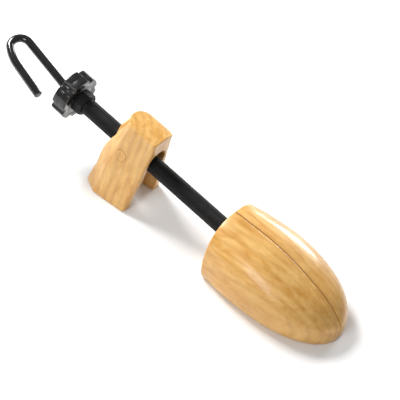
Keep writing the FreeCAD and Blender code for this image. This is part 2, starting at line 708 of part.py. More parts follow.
def buildRail(sideName, side):
    flip = "" if side > 0 else "-"
    outline = [
        ("Dim.railStart", "%s(%s)" % (flip, rampText("Dim.railStart"))),
        (railEndText, "%s(%s)" % (flip, rampText("(%s)" % railEndText))),
        (railEndText, "%sDim.railOuter" % flip),
        ("Dim.railStart", "%sDim.railOuter" % flip),
    ]
    body = bodyWith("rail_blank_" + sideName)
    blank = wedgeProfile("rail_outline_" + sideName, body, outline, "Dim.railHalfHeight")
    name = "slot_" + sideName
    slot = ribBars(name, side, "Dim.looseGap", "Dim.ribGap", "Dim.railStart", "Dim.railLength")
    return cut("ramp_rail_" + sideName, blank, slot + [railPin("rail_pin_hole_" + sideName, side)])


def guideBores(sideName, side, radius, start, end, tag):
    bores = []
    for label, along, rise in guidePlaces:
        low = "%s" % start if side > 0 else "-(%s)" % end
        bores.append(cylinder(
            "%s_%s_%s" % (label, sideName, tag), radius, "(%s) - (%s)" % (end, start), alongY,
            x=along, y=low, z=rise,
        ))
    return bores


# ---- forefoot: one last-shaped blank, split down the middle
def footHalfAt(share):
    # half width along the forefoot: widening to the ball, then round to the toe
    ball = dim("footBallShare")
    if share <= ball:
        ease = math.sin(share / ball * math.pi / 2)
        return dim("footRearHalf") + (dim("footHalf") - dim("footRearHalf")) * ease
    return dim("footHalf") * (1 - ((share - ball) / (1 - ball)) ** 2.4) ** 0.5


def footHeightAt(share):
    # height along the forefoot: an even fall past the ball and a blunt round toe
    ball = dim("footBallShare")
    if share <= ball:
        return dim("footRearHeight") + (dim("footBallHeight") - dim("footRearHeight")) * (share / ball) ** 2
    past = (share - ball) / (1 - ball)
    fall = dim("footBallHeight") + (dim("footToeHeight") - dim("footBallHeight")) * past ** 1.2
    return fall * (1 - 0.45 * past ** 8)


# a forefoot section from below the sole to the crest: shares of its half width and height
footOutline = [
    (0.70, -0.06), (0.90, 0.02), (0.97, 0.12), (1.0, 0.34), (0.93, 0.63), (0.70, 0.86), (0.36, 0.975), (0, 1),
]


def footSection(share):
    # full sides and a domed top; the sole is cut flat afterwards
    half = footHalfAt(share)
    high = footHeightAt(share)
    right = [V(dim("footLength") * share, half * y, high * z) for y, z in footOutline]
    left = [V(point.x, -point.y, point.z) for point in reversed(right[:-1])]
    curve = Part.BSplineCurve()
    curve.interpolate(right + left)
    return Part.Wire([curve.toShape(), Part.makeLine(left[-1], right[0])])


def buildFootBlank():
    shares = [0, 0.14, 0.28, 0.42, 0.56, 0.70, 0.82, 0.90, 0.955, 0.985, 0.997]
    blank = doc.addObject("Part::Feature", "foot_blank")
    blank.Shape = Part.makeLoft([footSection(share) for share in shares], True, False)
    return blank


footBlank = buildFootBlank()
pocketSide = "(Dim.yokeHalfWidth + Dim.looseGap)"
bushEnd = "%s + Dim.guideBushLength" % pocketSide
bushOuter = "Dim.guideRadius + Dim.guideBushWall"


def pocketBoxes(sideName):
    # room for the yoke's head, its frame and the rails, in the shaft frame
    head = box(
        "foot_head_room_" + sideName,
        ["-Dim.headLength", "-" + pocketSide, "-Dim.headHalfHeight - Dim.looseGap"],
        ["Dim.headLength + Dim.looseGap", pocketSide, "Dim.headHalfHeight + Dim.looseGap"],
    )
    frame = box(
        "foot_frame_room_" + sideName,
        ["0", "-" + pocketSide, "-Dim.frameHalfHeight - Dim.looseGap"],
        ["Dim.yokeLength + Dim.looseGap", pocketSide, "Dim.frameHalfHeight + Dim.looseGap"],
    )
    rails = box(
        "foot_rail_room_" + sideName,
        ["Dim.railStart - Dim.overshoot", "-Dim.railOuter", "-Dim.railHalfHeight"],
        [railEndText + " + Dim.railRoom", "Dim.railOuter", "Dim.railHalfHeight"],
    )
    return [head, frame, rails]


def buildForefoot(sideName, side):
    low = "Dim.splitGap / 2" if side > 0 else "-Dim.footLength"
    high = "Dim.footLength" if side > 0 else "-Dim.splitGap / 2"
    trim = box(
        "foot_trim_" + sideName,
        ["-Dim.overshoot", low, "0"],
        ["Dim.footLength + Dim.overshoot", high, "2 * Dim.footRearHeight"],
    )
    half = common("foot_half_" + sideName, footBlank, trim)
    rooms = pocketBoxes(sideName)
    rooms += guideBores(sideName, side, bushOuter, "0", bushEnd, "bush_room")
    reach = "Dim.guideReach + 2 * Dim.looseGap"
    rooms += guideBores(sideName, side, "Dim.guideRadius + Dim.looseGap", "0", reach, "pin_room")
    rooms.append(railPin("rail_pin_room_" + sideName, side))
    hollow = fuse("foot_rooms_" + sideName, rooms)
    hollow.Placement = shaft
    piece = doc.addObject("Part::Cut", "forefoot_" + sideName)
    piece.Base = half
    piece.Tool = hollow
    return piece


keep("wedge_nut", buildWedge(), shaft)
for sideName, side in (("left", 1), ("right", -1)):
    keep("ramp_rail_" + sideName, buildRail(sideName, side), shaft)
    keep("rail_pin_" + sideName, railPin("rail_pin_rod_" + sideName, side), shaft)
    outers = guideBores(sideName, side, bushOuter, pocketSide, bushEnd, "bush")
    inners = guideBores(sideName, side, "Dim.guideRadius + Dim.runGap", pocketSide, bushEnd, "bush_bore")
    bushes = [cut(outer.Name + "_ring", outer, [inner]) for outer, inner in zip(outers, inners)]
    keep("guide_bushes_" + sideName, group("guide_bushes_" + sideName, bushes), shaft)
    keep("forefoot_" + sideName, buildForefoot(sideName, side), floor)


# ---- heel block on its cross nut
def heelSection(height, half, rear):
    # flat front with round corners, straight sides to the pivot and a half-oval back
    pivot = -dim("pivotBack")
    front = pivot + dim("heelFront")
    corner = dim("heelRound")
    turn = corner * math.sqrt(0.5)
    steps = 8
    oval = []
    for step in range(steps + 1):
        angle = math.pi * step / steps
        oval.append(V(pivot - rear * math.sin(angle), half * math.cos(angle), height))
    back = Part.BSplineCurve()
    back.interpolate(Points=oval, InitialTangent=V(-1, 0, 0), FinalTangent=V(1, 0, 0))
    edges = [back.toShape()]
    for side in (-1, 1):
        edge = V(front - corner, side * half, height)
        rounded = V(front - corner + turn, side * (half - corner + turn), height)
        face = V(front, side * (half - corner), height)
        edges.append(Part.makeLine(V(pivot, side * half, height), edge))
        edges.append(Part.Arc(edge, rounded, face).toShape())
    edges.append(Part.makeLine(V(front, corner - half, height), V(front, half - corner, height)))
    return Part.Wire(Part.__sortEdges__(edges))


def crowned(solid):
    # cuts the block's top to a shallow arch across the shaft
    reach = 4 * dim("heelDeep")
    start = V(-dim("pivotBack") - reach / 2, 0, dim("heelTop") - dim("heelCrown"))
    arch = Part.makeCylinder(dim("heelCrown"), reach, start, alongX)
    above = Part.makeBox(reach, reach, 2 * dim("heelCrown"), start - V(0, reach / 2, 0))
    return solid.cut(above.cut(arch))


def buildHeelBlank():
    sections = [
        (dim("heelTop") + dim("overshoot"), dim("heelTopHalf"), dim("heelTopRear")),
        (dim("heelUpper"), dim("heelUpperHalf"), dim("heelUpperRear")),
        (-dim("heelMid"), dim("heelMidHalf"), dim("heelMidRear")),
        (-dim("heelLow"), dim("heelLowHalf"), dim("heelLowRear")),
        (-dim("heelDeep"), dim("heelBaseHalf"), dim("heelBaseRear")),
        (-2 * dim("heelDeep"), dim("heelBaseHalf"), dim("heelBaseRear")),
    ]
    solid = crowned(Part.makeLoft([heelSection(*section) for section in sections], True, False))
    reach = 4 * dim("heelDeep")
    ground = Part.makeBox(4 * dim("pivotBack"), reach, reach, V(-2 * dim("pivotBack"), -reach / 2, -reach))
    ground.Placement = shaft.inverse().multiply(ground.Placement)
    blank = doc.addObject("Part::Feature", "heel_blank")
    blank.Shape = solid.cut(ground)
    return blank


pivotAlong = "-Dim.pivotBack"


def heelCross(name, radius, inner, outer, side):
    low = inner if side > 0 else "-(%s)" % outer
    return cylinder(name, radius, "(%s) - (%s)" % (outer, inner), alongY, x=pivotAlong, y=low)


heelBlank = buildHeelBlank()
slotBack = "-Dim.pivotBack - 2 * Dim.heelBaseRear"
slotRun = "4 * Dim.heelBaseRear"
bushRadius = "Dim.trunnionRadius + Dim.heelBushWall"
flare = doc.addObject("Part::Wedge", "heel_flare")
bind(flare, {
    "Xmin": "0",
    "Xmax": slotRun,
    "X2min": "0",
    "X2max": slotRun,
    "Ymin": "Dim.flareStart",
    "Ymax": "Dim.flareEnd",
    "Zmin": "-Dim.slotHalf",
    "Zmax": "Dim.slotHalf",
    "Z2min": "-Dim.flareHalf",
    "Z2max": "Dim.flareHalf",
})
stand(flare, x=slotBack, rotation=turned(alongX, -90))
heelRooms = [
    flare,
    box(
        "heel_foot_slot",
        [slotBack, "-Dim.flareHalf", "-2 * Dim.heelDeep"],
        ["%s + %s" % (slotBack, slotRun), "Dim.flareHalf", "-Dim.flareEnd"],
    ),
    box(
        "heel_slot",
        [slotBack, "-Dim.slotHalf", "-2 * Dim.heelDeep"],
        ["%s + %s" % (slotBack, slotRun), "Dim.slotHalf", "Dim.archCentre"],
    ),
    cylinder("heel_arch", "Dim.slotHalf", slotRun, alongX, x=slotBack, z="Dim.archCentre"),
    cylinder(
        "heel_nut_room", "Dim.heelNutRadius + Dim.looseGap", "2 * Dim.slotHalf", alongY,
        x=pivotAlong, y="-Dim.slotHalf",
    ),
    cylinder(
        "heel_cross_bore", bushRadius, "4 * Dim.heelBaseHalf", alongY,
        x=pivotAlong, y="-2 * Dim.heelBaseHalf",
    ),
]
keep("heel_block", cut("heel_block", heelBlank, heelRooms), shaft)
for sideName, side in (("left", 1), ("right", -1)):
    bushTube = heelCross("heel_bush_outer_" + sideName, bushRadius, "Dim.slotHalf", "Dim.heelBushEnd", side)
    bushBore = heelCross(
        "heel_bush_bore_" + sideName, "Dim.trunnionRadius + Dim.runGap", "Dim.slotHalf",
        "Dim.heelBushEnd", side,
    )
    keep("heel_bush_" + sideName, cut("heel_bush_" + sideName, bushTube, [bushBore]), shaft)
    plugRod = heelCross(
        "heel_plug_rod_" + sideName, bushRadius, "Dim.heelBushEnd", "2 * Dim.heelBaseHalf", side)
    keep("heel_plug_" + sideName, common("heel_plug_" + sideName, heelBlank, plugRod), shaft)

barrel = cylinder(
    "heel_nut_barrel", "Dim.heelNutRadius", "2 * (Dim.slotHalf - Dim.looseGap)", alongY,
    x=pivotAlong, y="Dim.looseGap - Dim.slotHalf",
)
trunnions = cylinder(
    "heel_nut_trunnions", "Dim.trunnionRadius", "2 * Dim.trunnionReach", alongY,
    x=pivotAlong, y="-Dim.trunnionReach",
)
nutBore = cylinder(
    "heel_nut_bore", "Dim.tubeRadius + Dim.runGap", "4 * Dim.heelNutRadius", alongX,
    x=pivotAlong + " - 2 * Dim.heelNutRadius",
)
keep("heel_nut", cut("heel_nut", fuse("heel_nut_blank", [barrel, trunnions]), [nutBore]), shaft)

# ---- every piece goes to its place, with the origin at the middle of the whole object's floor print
doc.recompute()
for name, (piece, placement) in nodes.items():
    piece.Placement = placement
doc.recompute()
whole = FreeCAD.BoundBox()
for piece, placement in nodes.values():
    whole.add(piece.Shape.optimalBoundingBox())
middle = V(-(whole.XMin + whole.XMax) / 2, -(whole.YMin + whole.YMax) / 2, 0)
for name, (piece, placement) in nodes.items():
    piece.Placement = FreeCAD.Placement(middle, FreeCAD.Rotation()).multiply(placement)
doc.recompute()

for feature in doc.Objects:
    if "Invalid" in feature.State or "Error" in feature.State:
        raise ValueError("%s did not build: %s" % (feature.Label, feature.State))
os.makedirs("parts", exist_ok=True)
for name, (piece, placement) in nodes.items():
    if piece.Shape.isNull() or not piece.Shape.isValid():
        raise ValueError("%s has no valid shape" % name)
for name, (piece, placement) in nodes.items():
    piece.Shape.exportStep("parts/%s.step" % name)
print(len(nodes), "nodes, box", whole.XLength, whole.YLength, whole.ZLength)
print("shift", middle)
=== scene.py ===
import json
import math
import bmesh
import bpy
from mathutils import Matrix, Vector


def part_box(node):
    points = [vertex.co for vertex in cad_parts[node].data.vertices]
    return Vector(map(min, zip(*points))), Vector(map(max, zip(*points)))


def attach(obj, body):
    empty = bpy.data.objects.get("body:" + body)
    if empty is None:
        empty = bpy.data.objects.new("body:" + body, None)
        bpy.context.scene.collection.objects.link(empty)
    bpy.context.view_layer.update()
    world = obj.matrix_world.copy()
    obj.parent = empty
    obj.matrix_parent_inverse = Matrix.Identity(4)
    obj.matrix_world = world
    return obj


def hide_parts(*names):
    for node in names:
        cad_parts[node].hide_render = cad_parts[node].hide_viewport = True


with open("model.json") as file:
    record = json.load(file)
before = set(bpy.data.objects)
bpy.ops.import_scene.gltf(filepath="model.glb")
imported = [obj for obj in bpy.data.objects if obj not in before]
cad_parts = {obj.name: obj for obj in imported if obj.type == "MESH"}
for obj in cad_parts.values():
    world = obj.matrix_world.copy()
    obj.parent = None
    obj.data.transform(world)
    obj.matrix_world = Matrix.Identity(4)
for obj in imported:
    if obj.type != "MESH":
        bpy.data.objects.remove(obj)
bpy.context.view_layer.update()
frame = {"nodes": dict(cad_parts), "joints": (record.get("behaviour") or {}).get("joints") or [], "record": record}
scene = bpy.context.scene
scene.view_settings.view_transform = "Standard"
collection = scene.collection
nodes = frame["nodes"]
mm = 0.001
print("frame loaded:", len(nodes), "nodes")

# the shaft's own frame: X runs down the shaft from the forefoot's rear face, Z is up beside it
joints = {joint["name"]: joint for joint in frame["joints"]}
shaftStart = Vector(joints["handle_turn"]["pos_m"])
shaftAxis = Vector(joints["handle_turn"]["axis"]).normalized()
shaftSide = Vector((0, 1, 0))
shaftUp = shaftAxis.cross(shaftSide).normalized()
shaftMatrix = Matrix((
    (shaftAxis.x, shaftSide.x, shaftUp.x, shaftStart.x),
    (shaftAxis.y, shaftSide.y, shaftUp.y, shaftStart.y),
    (shaftAxis.z, shaftSide.z, shaftUp.z, shaftStart.z),
    (0, 0, 0, 1),
))
shaftPitch = math.atan2(-shaftAxis.z, shaftAxis.x)


# small helpers for node trees
def addNode(tree, kind, **values):
    node = tree.nodes.new(kind)
    for key, value in values.items():
        setattr(node, key, value)
    return node


def feed(tree, socket, value):
    # a socket takes another socket or a plain value
    if isinstance(value, bpy.types.NodeSocket):
        tree.links.new(value, socket)
    elif value is not None:
        socket.default_value = value


def mathOf(tree, operation, first, second=None, third=None):
    node = addNode(tree, "ShaderNodeMath", operation=operation)
    for socket, value in zip(node.inputs, (first, second, third)):
        feed(tree, socket, value)
    return node.outputs[0]


def noiseOf(tree, vector, scale, detail=3.0, roughness=0.5, distortion=0.0):
    node = addNode(tree, "ShaderNodeTexNoise")
    feed(tree, node.inputs["Vector"], vector)
    for label, value in (
        ("Scale", scale), ("Detail", detail), ("Roughness", roughness), ("Distortion", distortion),
    ):
        feed(tree, node.inputs[label], value)
    return node.outputs["Fac"]


def rampOf(tree, factor, low, high, fromLow=0.0, fromHigh=1.0):
    node = addNode(tree, "ShaderNodeMapRange")
    for label, value in (
        ("Value", factor), ("From Min", fromLow), ("From Max", fromHigh), ("To Min", low), ("To Max", high),
    ):
        feed(tree, node.inputs[label], value)
    return node.outputs["Result"]


def mixColours(tree, factor, first, second):
    node = addNode(tree, "ShaderNodeMix", data_type="RGBA", blend_type="MIX")
    feed(tree, node.inputs["Factor"], factor)
    feed(tree, node.inputs[6], first)
    feed(tree, node.inputs[7], second)
    return node.outputs[2]


def mapped(tree, vector, rotation=(0, 0, 0), scale=(1, 1, 1), location=(0, 0, 0)):
    node = addNode(tree, "ShaderNodeMapping")
    feed(tree, node.inputs["Vector"], vector)
    node.inputs["Rotation"].default_value = rotation
    node.inputs["Scale"].default_value = scale
    node.inputs["Location"].default_value = location
    return node.outputs["Vector"]


def newGroup(name, inputs, outputs):
    tree = bpy.data.node_groups.new(name, "ShaderNodeTree")
    for label, kind, value in inputs:
        socket = tree.interface.new_socket(name=label, in_out="INPUT", socket_type="NodeSocket" + kind)
        socket.default_value = value
    for label, kind in outputs:
        tree.interface.new_socket(name=label, in_out="OUTPUT", socket_type="NodeSocket" + kind)
    return tree, tree.nodes.new("NodeGroupInput"), tree.nodes.new("NodeGroupOutput")


def useGroup(tree, group, **values):
    node = addNode(tree, "ShaderNodeGroup", node_tree=group)
    for key, value in values.items():
        feed(tree, node.inputs[key], value)
    return node.outputs


# wood figure: long soft bands, fine fibres and short dark flecks, all along the group's Z
def buildWoodFigure():
    tree, start, end = newGroup(
        "woodFigure",
        [
            ("Position", "Vector", (0, 0, 0)),
            ("Light", "Color", (1, 1, 1, 1)),
            ("Middle", "Color", (1, 1, 1, 1)),
            ("Dark", "Color", (1, 1, 1, 1)),
            ("Bands", "Float", 0.5),
            ("Fibre", "Float", 0.5),
        ],
        [("Color", "Color"), ("Fleck", "Float"), ("Height", "Float")],
    )
    position = start.outputs["Position"]
    slow = mapped(tree, position, scale=(1, 1, 0.16))
    bands = noiseOf(tree, slow, 95, 2.0, 0.45, 1.1)
    cathedral = addNode(tree, "ShaderNodeTexWave", wave_type="RINGS", rings_direction="Z", wave_profile="SIN")
    ringPlace = mapped(tree, position, rotation=(0.10, 0.16, 0), scale=(1, 1, 0.22), location=(0.055, 0.03, 0))
    feed(tree, cathedral.inputs["Vector"], ringPlace)
    for label, value in (
        ("Scale", 44.0), ("Distortion", 3.2), ("Detail", 2.0), ("Detail Scale", 0.9), ("Detail Roughness", 0.5),
    ):
        cathedral.inputs[label].default_value = value
    ring = mathOf(tree, "POWER", cathedral.outputs["Fac"], 2.2)
    fibrePlace = mapped(tree, position, scale=(1, 1, 0.035))
    fibres = noiseOf(tree, fibrePlace, 1500, 2.0, 0.6)
    streaks = noiseOf(tree, mapped(tree, position, scale=(1, 1, 0.06)), 420, 3.0, 0.6, 0.4)
    fleckPlace = mapped(tree, position, scale=(1, 1, 0.11))
    flecks = addNode(tree, "ShaderNodeTexVoronoi", feature="F1")
    feed(tree, flecks.inputs["Vector"], fleckPlace)
    flecks.inputs["Scale"].default_value = 900
    fleck = rampOf(tree, flecks.outputs["Distance"], 1.0, 0.0, 0.05, 0.22)
    clouds = noiseOf(tree, mapped(tree, position, scale=(1, 1, 0.45)), 130, 3.0, 0.55, 0.8)
    mottle = mathOf(tree, "MULTIPLY", mathOf(tree, "ADD", bands, clouds), 0.5)
    bandShare = rampOf(tree, mottle, 0.0, 1.0, 0.36, 0.64)
    colour = mixColours(tree, bandShare, start.outputs["Light"], start.outputs["Middle"])
    ringShare = mathOf(tree, "MULTIPLY", ring, start.outputs["Bands"])
    colour = mixColours(tree, ringShare, colour, start.outputs["Dark"])
    streakShare = mathOf(tree, "MULTIPLY", rampOf(tree, streaks, 0.0, 1.0, 0.45, 0.75), start.outputs["Fibre"])
    colour = mixColours(tree, streakShare, colour, start.outputs["Dark"])
    fleckShare = mathOf(tree, "MULTIPLY", fleck, mathOf(tree, "MULTIPLY", start.outputs["Fibre"], 0.7))
    colour = mixColours(tree, fleckShare, colour, start.outputs["Dark"])
    feed(tree, end.inputs["Color"], colour)
    feed(tree, end.inputs["Fleck"], fleckShare)
    height = mathOf(tree, "SUBTRACT", mathOf(tree, "MULTIPLY", fibres, 0.6), fleck)
    feed(tree, end.inputs["Height"], mathOf(tree, "ADD", height, mathOf(tree, "MULTIPLY", ring, 0.5)))
    return tree


# handling marks: broad smudges, fine scratches and worn convex edges, as masks that each material uses
def buildWear():
    tree, start, end = newGroup(
        "handlingWear",
        [
            ("Position", "Vector", (0, 0, 0)), ("Smudge", "Float", 0.5), ("Scratch", "Float", 0.5),
            ("Edge", "Float", 0.5),
        ],
        [("Smudge", "Float"), ("Scratch", "Float"), ("Edge", "Float"), ("Height", "Float")],
    )
    position = start.outputs["Position"]
    broad = rampOf(tree, noiseOf(tree, position, 60, 4.0, 0.6, 0.3), 0.0, 1.0, 0.4, 0.7)
    feed(tree, end.inputs["Smudge"], mathOf(tree, "MULTIPLY", broad, start.outputs["Smudge"]))
    lines = None
    for turn, stretch in (((0.5, 0.2, 0.9), 0.03), ((1.2, 0.7, 0.1), 0.05)):
        place = mapped(tree, position, rotation=turn, scale=(1, 1, stretch))
        streak = rampOf(tree, noiseOf(tree, place, 1300, 1.0, 0.5), 0.0, 1.0, 0.66, 0.74)
        lines = streak if lines is None else mathOf(tree, "MAXIMUM", lines, streak)
    scratch = mathOf(tree, "MULTIPLY", lines, start.outputs["Scratch"])
    feed(tree, end.inputs["Scratch"], scratch)
    geometry = addNode(tree, "ShaderNodeNewGeometry")
    convex = rampOf(tree, geometry.outputs["Pointiness"], 0.0, 1.0, 0.53, 0.60)
    broken = rampOf(tree, noiseOf(tree, position, 500, 3.0, 0.6), 0.2, 1.0, 0.35, 0.65)
    edge = mathOf(tree, "MULTIPLY", mathOf(tree, "MULTIPLY", convex, broken), start.outputs["Edge"])
    feed(tree, end.inputs["Edge"], edge)
    feed(tree, end.inputs["Height"], mathOf(tree, "MULTIPLY", scratch, -1.0))
    return tree


woodFigure = buildWoodFigure()
handlingWear = buildWear()


def startMaterial(name):
    material = bpy.data.materials.new(name)
    material.use_nodes = True
    tree = material.node_tree
    place = addNode(tree, "ShaderNodeTexCoord").outputs["Object"]
    return material, tree, tree.nodes["Principled BSDF"], place


def bumpInto(tree, shader, height, distance, strength=1.0):
    bump = addNode(tree, "ShaderNodeBump")
    bump.inputs["Distance"].default_value = distance
    bump.inputs["Strength"].default_value = strength
    feed(tree, bump.inputs["Height"], height)
    feed(tree, shader.inputs["Normal"], bump.outputs["Normal"])


# colours are what the varnished surface shows under white light
woodLook = {
    "light": (0.80, 0.49, 0.16, 1),
    "middle": (0.62, 0.305, 0.06, 1),
    "dark": (0.38, 0.15, 0.03, 1),
    "roughness": (0.30, 0.46),
    "coat": 0.3,
    "coatRoughness": 0.12,
}


def woodMaterial(name, turn, offset, bands, fibre):
    # turn brings the grain of this piece to the figure's Z
    material, tree, shader, place = startMaterial(name)
    grain = mapped(tree, mapped(tree, place, location=offset), rotation=turn)
    figure = useGroup(
        tree, woodFigure, Position=grain, Light=woodLook["light"], Middle=woodLook["middle"],
        Dark=woodLook["dark"], Bands=bands, Fibre=fibre,
    )
    wear = useGroup(tree, handlingWear, Position=place, Smudge=1.0, Scratch=0.25, Edge=0.5)
    colour = mixColours(tree, wear["Edge"], figure["Color"], woodLook["light"])
    feed(tree, shader.inputs["Base Color"], colour)
    low, high = woodLook["roughness"]
    feed(tree, shader.inputs["Roughness"], rampOf(tree, wear["Smudge"], low, high))
    shader.inputs["Coat Weight"].default_value = woodLook["coat"]
    shader.inputs["Coat Roughness"].default_value = woodLook["coatRoughness"]
    bumpInto(tree, shader, figure["Height"], 0.00006, 0.6)
    return material


blackLook = {
    "enamel": {"colour": (0.005, 0.005, 0.0055, 1), "worn": (0.014, 0.014, 0.015, 1), "roughness": (0.12, 0.20),
               "specular": 0.5},
    "moulded": {"colour": (0.007, 0.007, 0.0075, 1), "worn": (0.018, 0.018, 0.019, 1), "roughness": (0.20, 0.30),
                "specular": 0.5},
    "oxide": {"colour": (0.006, 0.006, 0.0065, 1), "worn": (0.016, 0.016, 0.017, 1), "roughness": (0.50, 0.66),
              "specular": 0.2},
}


def blackMaterial(name, look, grainScale, grainDepth, metallic, coat):
    material, tree, shader, place = startMaterial(name)
    wear = useGroup(tree, handlingWear, Position=place, Smudge=1.0, Scratch=0.6, Edge=0.8)
    mottle = noiseOf(tree, place, 220, 4.0, 0.6)
    colour = mixColours(tree, rampOf(tree, mottle, 0.0, 0.35, 0.35, 0.75), look["colour"], look["worn"])
    colour = mixColours(tree, wear["Edge"], colour, look["worn"])
    feed(tree, shader.inputs["Base Color"], colour)
    low, high = look["roughness"]
    rough = rampOf(tree, wear["Smudge"], low, high)
    scratched = mathOf(tree, "MULTIPLY", wear["Scratch"], 0.12)
    feed(tree, shader.inputs["Roughness"], mathOf(tree, "ADD", rough, scratched))
    shader.inputs["Metallic"].default_value = metallic
    shader.inputs["Specular IOR Level"].default_value = look["specular"]
    shader.inputs["Coat Weight"].default_value = coat
    shader.inputs["Coat Roughness"].default_value = 0.12
    grain = noiseOf(tree, place, grainScale, 3.0, 0.6)
    bumpInto(tree, shader, mathOf(tree, "ADD", grain, wear["Height"]), grainDepth, 0.7)
    return material


metalLook = {
    "zinc": {"light": (0.60, 0.61, 0.62, 1), "dark": (0.40, 0.41, 0.43, 1), "roughness": (0.26, 0.44)},
    "bright": {"light": (0.70, 0.70, 0.71, 1), "dark": (0.52, 0.52, 0.54, 1), "roughness": (0.18, 0.32)},
    "brass": {"light": (0.78, 0.57, 0.26, 1), "dark": (0.50, 0.33, 0.13, 1), "roughness": (0.22, 0.40)},
}


def metalMaterial(name, look, brushing):
    # brushing is the stretch of the fine tool marks
    material, tree, shader, place = startMaterial(name)
    wear = useGroup(tree, handlingWear, Position=place, Smudge=1.0, Scratch=0.7, Edge=0.7)
    cloud = rampOf(tree, noiseOf(tree, place, 150, 4.0, 0.65, 0.5), 0.0, 1.0, 0.3, 0.7)
    colour = mixColours(tree, cloud, look["dark"], look["light"])
    colour = mixColours(tree, wear["Edge"], colour, look["light"])
    feed(tree, shader.inputs["Base Color"], colour)
    low, high = look["roughness"]
    marks = noiseOf(tree, mapped(tree, place, scale=brushing), 1600, 2.0, 0.6)
    rough = mathOf(tree, "ADD", rampOf(tree, wear["Smudge"], low, high), rampOf(tree, marks, -0.05, 0.05))
    feed(tree, shader.inputs["Roughness"], rough)
    shader.inputs["Metallic"].default_value = 1.0
    bumpInto(tree, shader, mathOf(tree, "ADD", marks, wear["Height"]), 0.00002, 0.6)
    return material


uprightGrain = (0, -shaftPitch, 0)
lengthGrain = (0, -math.pi / 2, 0)
materials = {
    "heel_block": woodMaterial("honey_wood_block", uprightGrain, (0.031, 0.012, 0.0), 0.26, 0.22),
    "forefoot_left": woodMaterial("honey_wood_left", lengthGrain, (-0.06, 0.045, 0.01), 0.20, 0.16),
    "forefoot_right": woodMaterial("honey_wood_right", lengthGrain, (-0.02, 0.062, 0.05), 0.20, 0.16),
    "black_rod": blackMaterial("black_enamel", blackLook["enamel"], 700, 0.00002, 0.0, 0.5),
    "black_plastic": blackMaterial("black_moulding", blackLook["moulded"], 900, 0.00003, 0.0, 0.25),
    "black_steel": blackMaterial("black_oxide", blackLook["oxide"], 1500, 0.00004, 0.0, 0.0),
    "steel": metalMaterial("zinc_plate", metalLook["zinc"], (0.08, 1, 1)),
    "bright_steel": metalMaterial("bright_steel", metalLook["bright"], (0.05, 1, 1)),
    "brass": metalMaterial("turned_brass", metalLook["brass"], (1, 0.1, 1)),
}
slotOf = {part["node"]: part["material_slot"] for part in frame["record"]["subparts"]}


def materialFor(name):
    if name.startswith("heel_plug"):
        return materials["heel_block"]
    return materials.get(name) or materials[slotOf[name]]


for name, node in nodes.items():
    node.data.materials.clear()
    node.data.materials.append(materialFor(name))
print("materials made:", len(materials))


# finished meshes
def finish(name, mesh, material, body, replaced):
    mesh.name = name
    mesh.materials.clear()
    mesh.materials.append(material)
    piece = bpy.data.objects.new(name, mesh)
    collection.objects.link(piece)
    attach(piece, body)
    if replaced:
        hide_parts(*replaced)
    return piece


def mergedCopy(name):
    # the CAD node's own surface as one closed mesh
    mesh = nodes[name].data.copy()
    work = bmesh.new()
    work.from_mesh(mesh)
    bmesh.ops.remove_doubles(work, verts=work.verts, dist=1e-6)
    work.to_mesh(mesh)
    work.free()
    return mesh


def evaluated(mesh, modifiers):
    # the mesh after a list of (type, settings)
    holder = bpy.data.objects.new("holder", mesh)
    collection.objects.link(holder)
    for kind, settings in modifiers:
        modifier = holder.modifiers.new(kind.lower(), kind)
        for key, value in settings.items():
            setattr(modifier, key, value)
    graph = bpy.context.evaluated_depsgraph_get()
    result = bpy.data.meshes.new_from_object(holder.evaluated_get(graph), depsgraph=graph)
    bpy.data.objects.remove(holder)
    return result


def shadeSmooth(mesh, angle=None):
    mesh.polygons.foreach_set("use_smooth", [True] * len(mesh.polygons))
    if angle is not None:
        mesh.set_sharp_from_angle(angle=math.radians(angle))


# wood: the CAD shape with its edges eased as by sanding
woodSizes = {"voxel": 0.75, "passes": 5, "factor": 0.5, "blockVoxel": 0.55, "blockPasses": 7}


def sandedWood(name, body, turn, voxel, passes):
    mesh = mergedCopy(name)
    low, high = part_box(name)
    level = Matrix.Rotation(turn, 4, "Y")
    mesh.transform(level.inverted())
    mesh = evaluated(mesh, [
        ("REMESH", {"mode": "VOXEL", "voxel_size": voxel * mm, "adaptivity": 0.0}),
        ("SMOOTH", {"factor": woodSizes["factor"], "iterations": passes}),
    ])
    mesh.transform(level)
    for vertex in mesh.vertices:
        for axis in range(3):
            vertex.co[axis] = min(max(vertex.co[axis], low[axis]), high[axis])
    shadeSmooth(mesh)
    piece = finish(name + "_wood", mesh, materialFor(name), body, [name])
    print("sanded", name, len(mesh.polygons), "faces")
    return piece


sandedWood("heel_block", "heel", shaftPitch, woodSizes["blockVoxel"], woodSizes["blockPasses"])
sandedWood("forefoot_left", "half_left", 0, woodSizes["voxel"], woodSizes["passes"])
sandedWood("forefoot_right", "half_right", 0, woodSizes["voxel"], woodSizes["passes"])

# metal and moulded pieces keep their CAD shape and get small bevels
bevelSizes = {
    "knob_lock_nut": ("screw_tube", 0.35),
    "tube_flange": ("screw_tube", 0.3),
    "yoke": ("yoke_body", 0.5),
    "yoke_cap": ("yoke_body", 0.4),
    "yoke_cap_screws": ("yoke_body", 0.25),
    "rod_collar": ("handle", 0.4),
    "heel_nut": ("heel_carrier", 0.4),
    "wedge_nut": ("wedge", 0.3),
    "ramp_rail_left": ("half_left", 0.3),
    "ramp_rail_right": ("half_right", 0.3),
}


